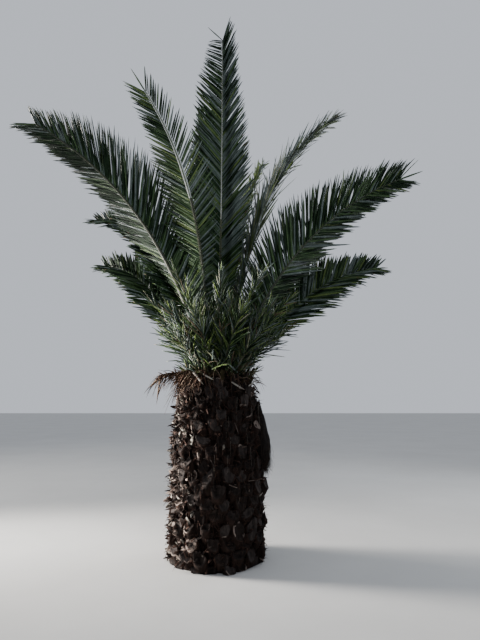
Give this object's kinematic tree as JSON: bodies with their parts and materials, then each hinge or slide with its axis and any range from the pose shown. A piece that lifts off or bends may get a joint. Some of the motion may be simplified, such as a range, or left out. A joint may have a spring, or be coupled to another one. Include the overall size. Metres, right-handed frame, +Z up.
{
  "type": "date palm tree",
  "caption": "Rooted date palm: a stout straight trunk clad in old cut frond bases under a crown of long feather-shaped fronds that rise and arch to both sides and to the back.",
  "frame": {"origin": "centre of the flat cut under the trunk, at ground level", "axes": "+Z is up, +X points to the right and -Y towards the viewer of the reference view"},
  "size_m": [4.7311, 3.3129, 6.3166],
  "materials": {
    "trunk": "rough, fibrous, dry",
    "frond": "satin, leathery",
    "fibre": "matt, matted",
    "dry_frond": "matt, dry"
  },
  "bodies": {
    "root": {"dry_tuft": "dry_frond", "frond_back_left": "frond", "frond_back_low_left": "frond", "frond_back_low_middle": "frond", "frond_back_low_right": "frond", "frond_back_middle": "frond", "frond_back_right": "frond", "frond_centre_behind": "frond", "frond_centre_tall": "frond", "frond_front_left_short": "frond", "frond_front_right_short": "frond", "frond_front_short": "frond", "frond_left_drooping_lower": "frond", "frond_left_drooping_outer": "frond", "frond_left_long_lower": "frond", "frond_left_long_outer": "frond", "frond_left_low_lower": "frond", "frond_left_low_outer": "frond", "frond_left_short": "frond", "frond_left_upright": "frond", "frond_right_behind": "frond", "frond_right_long_lower": "frond", "frond_right_long_outer": "frond", "frond_right_low": "frond", "frond_right_short": "frond", "frond_right_tall": "frond", "hanging_fibre": "fibre", "trunk": "trunk"}
  },
  "joints": []
}
